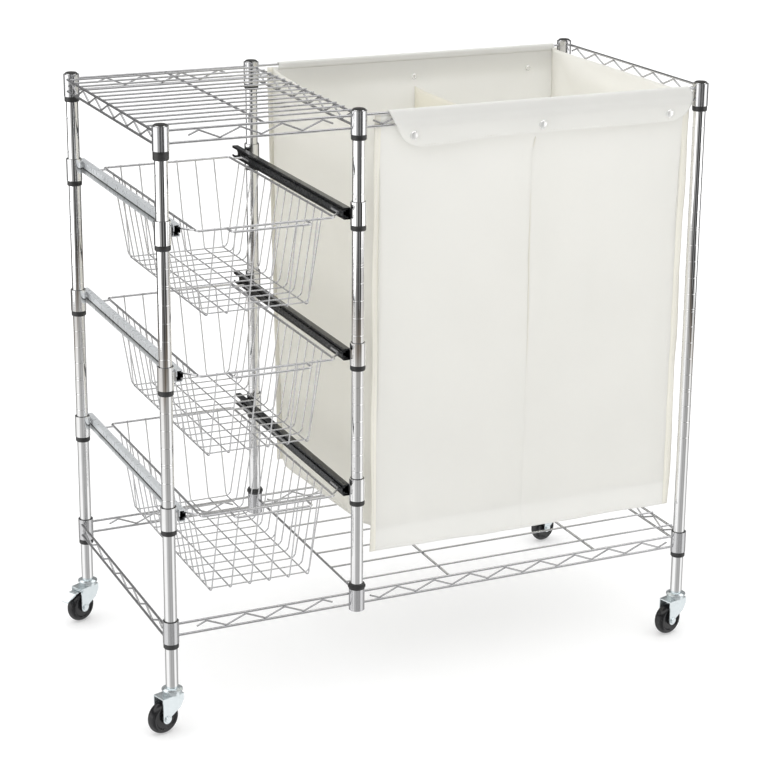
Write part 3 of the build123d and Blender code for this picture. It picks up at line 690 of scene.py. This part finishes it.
def studio_world():
    """White to the camera, even and soft on cloth; metal mirrors the dark and bright panels of a studio."""
    world = bpy.data.worlds.new("studio")
    bpy.context.scene.world = world
    world.use_nodes = True
    s = Shader.__new__(Shader)
    s.nodes, s.links = world.node_tree.nodes, world.node_tree.links
    toward = math.atan2(CAMERA_PLACE.y, CAMERA_PLACE.x)
    aim = s.node("TexCoord").outputs["Generated"]
    turned = s.node("VectorRotate", {"Vector": aim, "Angle": -toward}, rotation_type="Z_AXIS").outputs["Vector"]
    parts = s.node("SeparateXYZ", {"Vector": turned}).outputs
    around = s.math("ARCTAN2", parts["Y"], parts["X"])
    share = s.math("ADD", s.math("MULTIPLY", around, 0.5 / math.pi), 0.5)
    sides = s.ramp(share, [(degrees / 360 + 0.5, grey(value)) for degrees, value in HORIZON])
    roof = s.ramp(parts["Z"], [(z, grey(value)) for z, value in OVERHEAD])
    rising = s.ramp(parts["Z"], [(0.0, grey(0.0)), (0.45, grey(1.0))])
    mirrored = s.node("Mix", {0: rising, 6: sides, 7: roof}, data_type="RGBA").outputs[2]
    path = s.node("LightPath").outputs
    plain = s.node("SeparateXYZ", {"Vector": aim}).outputs
    high = {"Value": plain["Z"], "From Min": 0.45, "From Max": 0.8, "To Max": TOP_LIGHT}
    left = {"Value": plain["X"], "From Min": -0.1, "From Max": -0.8, "To Max": LEFT_LIGHT}
    both = s.math("ADD", s.node("MapRange", high).outputs[0], s.node("MapRange", left).outputs[0])
    even = s.math("ADD", both, FILL_LIGHT)
    soft = s.node("Mix", {0: path["Is Glossy Ray"], 6: even, 7: mirrored}, data_type="RGBA").outputs[2]
    seen = s.node("Mix", {0: path["Is Camera Ray"], 6: soft, 7: (1, 1, 1, 1)}, data_type="RGBA").outputs[2]
    s.put(seen, s.nodes["Background"].inputs["Color"])


def floor_plane(name, size, height):
    bpy.ops.mesh.primitive_plane_add(size=size, location=(0, 0, height))
    floor = bpy.context.object
    floor.name = name
    return floor


def pale_floor(name):
    """Matte white with a little light of its own, so that shadows on it stay faint."""
    s = Shader(name)
    s.into("Base Color", (0.66, 0.66, 0.66, 1))
    s.into("Roughness", 0.9)
    s.into("Emission Color", (1, 1, 1, 1))
    s.into("Emission Strength", 0.36)
    return s


def studio_floor():
    """Pale floor; metal sees only its near part, with a brown border."""
    near = floor_plane("floor_near", 2 * RING, 0.0)
    s = pale_floor("floor_near")
    away = s.node("VectorMath", {0: s.place()}, operation="LENGTH").outputs["Value"]
    edge = s.ramp(s.math("DIVIDE", away, RING), [
        (0.0, grey(0.62)), (0.5, grey(0.58)), (NEAR_FLOOR / RING, (0.45, 0.44, 0.42)),
        (0.86, (0.22, 0.18, 0.14)), (1.0, (0.05, 0.045, 0.04)),
    ])
    glow = s.node("Emission", {"Color": edge})
    clear = s.node("BsdfTransparent")
    sheen = s.node("MixShader", {0: FLOOR_SHEEN, 1: clear.outputs[0], 2: glow.outputs[0]})
    mirrored = s.node("LightPath").outputs["Is Glossy Ray"]
    blend = s.node("MixShader", {0: mirrored, 1: s.surface.outputs[0], 2: sheen.outputs[0]})
    s.links.new(blend.outputs[0], s.nodes["Material Output"].inputs["Surface"])
    near.data.materials.append(s.material)
    far = floor_plane("floor_far", 30, -0.0005)
    far.data.materials.append(pale_floor("floor_far").material)
    far.visible_glossy = False


def camera():
    """The photograph's view: the camera was fitted to the posts' spacing and their groove pitch."""
    yaw, pitch, roll = 0.4263, 0.2789, 0.0083
    level_way = Vector((math.sin(yaw), math.cos(yaw), 0))
    forward = level_way * math.cos(pitch) - Vector((0, 0, math.sin(pitch)))
    right = Vector((math.cos(yaw), -math.sin(yaw), 0))
    up = right.cross(forward)
    level = right * math.cos(roll) + up * math.sin(roll)
    lean = up * math.cos(roll) - right * math.sin(roll)
    data = bpy.data.cameras.new("camera")
    data.sensor_width = 36.0
    data.lens = 99.94
    data.shift_y = -0.1217
    data.clip_end = 100
    rig = bpy.data.objects.new("camera", data)
    bpy.context.scene.collection.objects.link(rig)
    turn = Matrix((level, lean, -forward)).transposed().to_4x4()
    rig.matrix_world = Matrix.Translation(CAMERA_PLACE) @ turn
    bpy.context.scene.camera = rig


studio_world()
studio_floor()
camera()
bpy.context.scene.view_settings.view_transform = "Standard"
